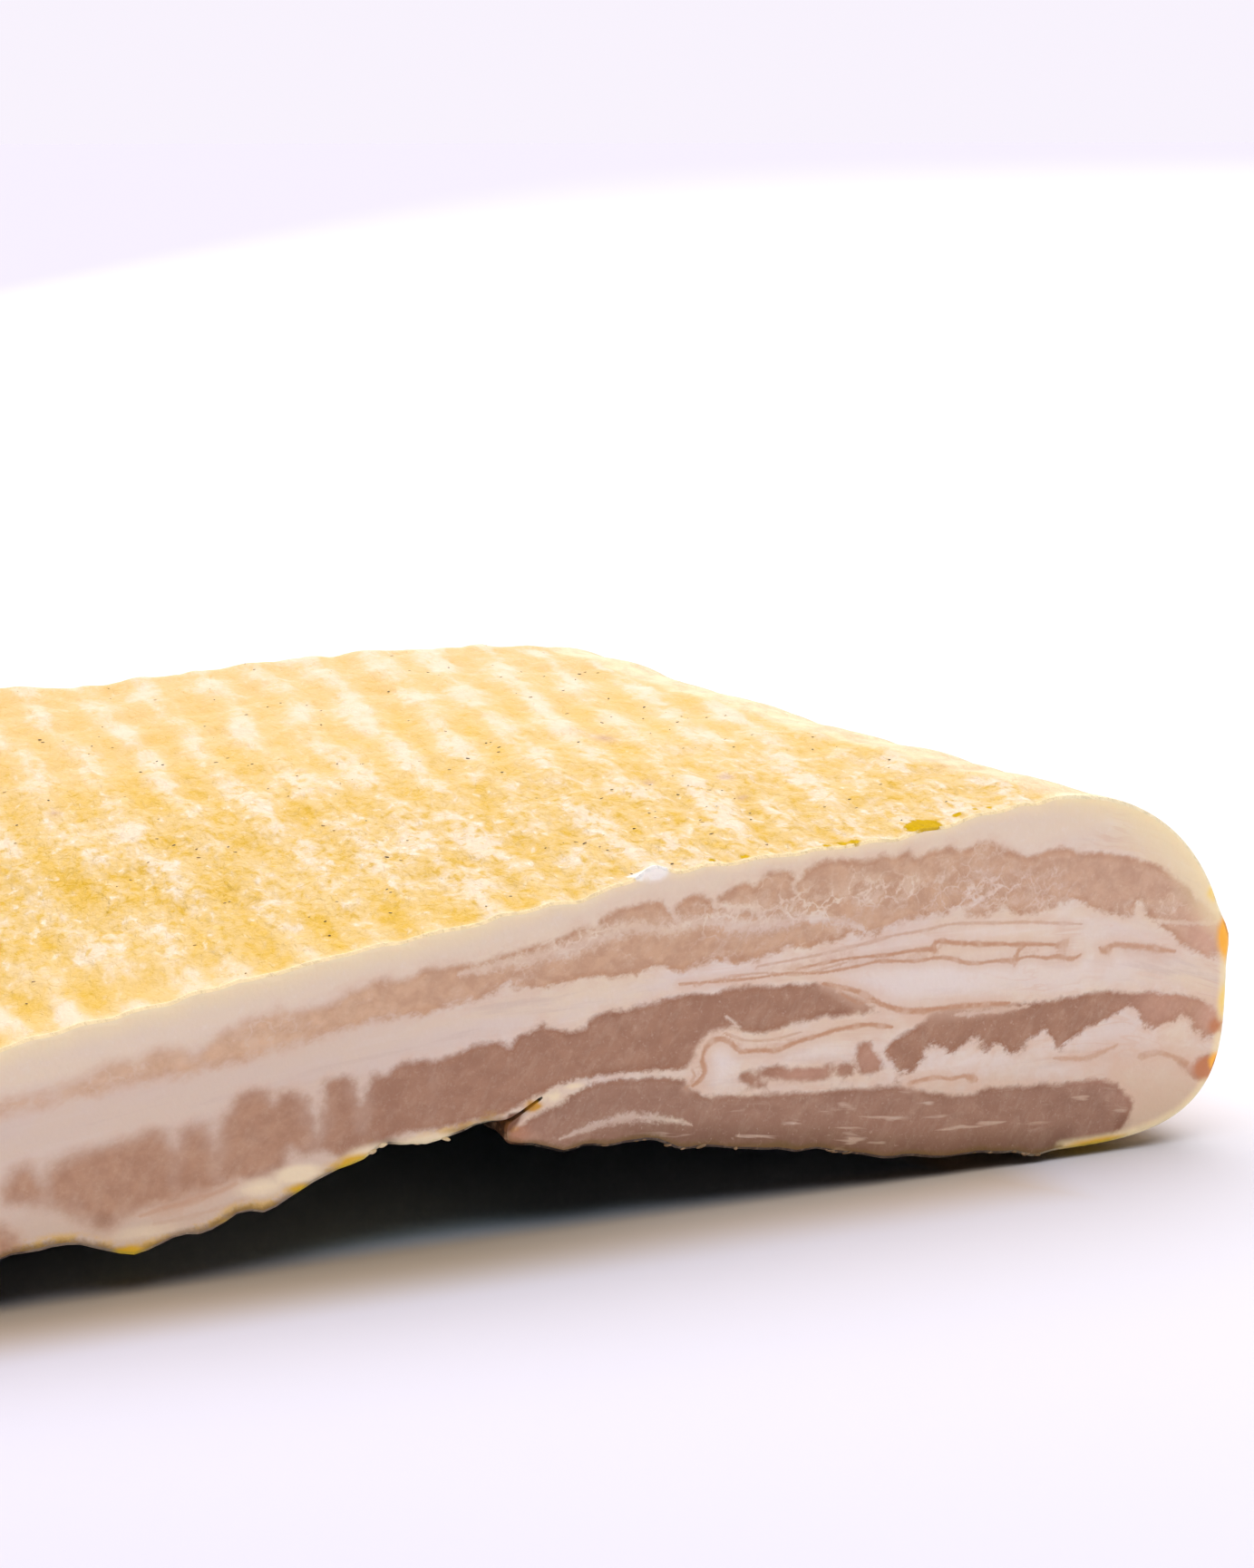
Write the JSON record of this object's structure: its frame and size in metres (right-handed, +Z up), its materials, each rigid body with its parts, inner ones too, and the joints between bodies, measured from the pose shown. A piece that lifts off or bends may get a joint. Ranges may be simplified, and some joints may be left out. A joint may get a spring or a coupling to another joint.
{
  "type": "bacon slab",
  "caption": "Slab of cured pork belly lying rind up: golden ridged rind, layered lean and fat on the straight cuts, rounded ends and an arched underside.",
  "frame": {"origin": "under the middle of the slab, on the surface it lies on", "axes": "+X along the slab to its thick end, +Y from the front cut to the back cut, +Z up"},
  "size_m": [0.23, 0.13, 0.0482],
  "materials": {
    "cured_pork": "dried golden rind on top, moist pink lean and cream fat on the cuts"
  },
  "bodies": {
    "root": {"bacon_slab": "cured_pork"}
  },
  "joints": []
}
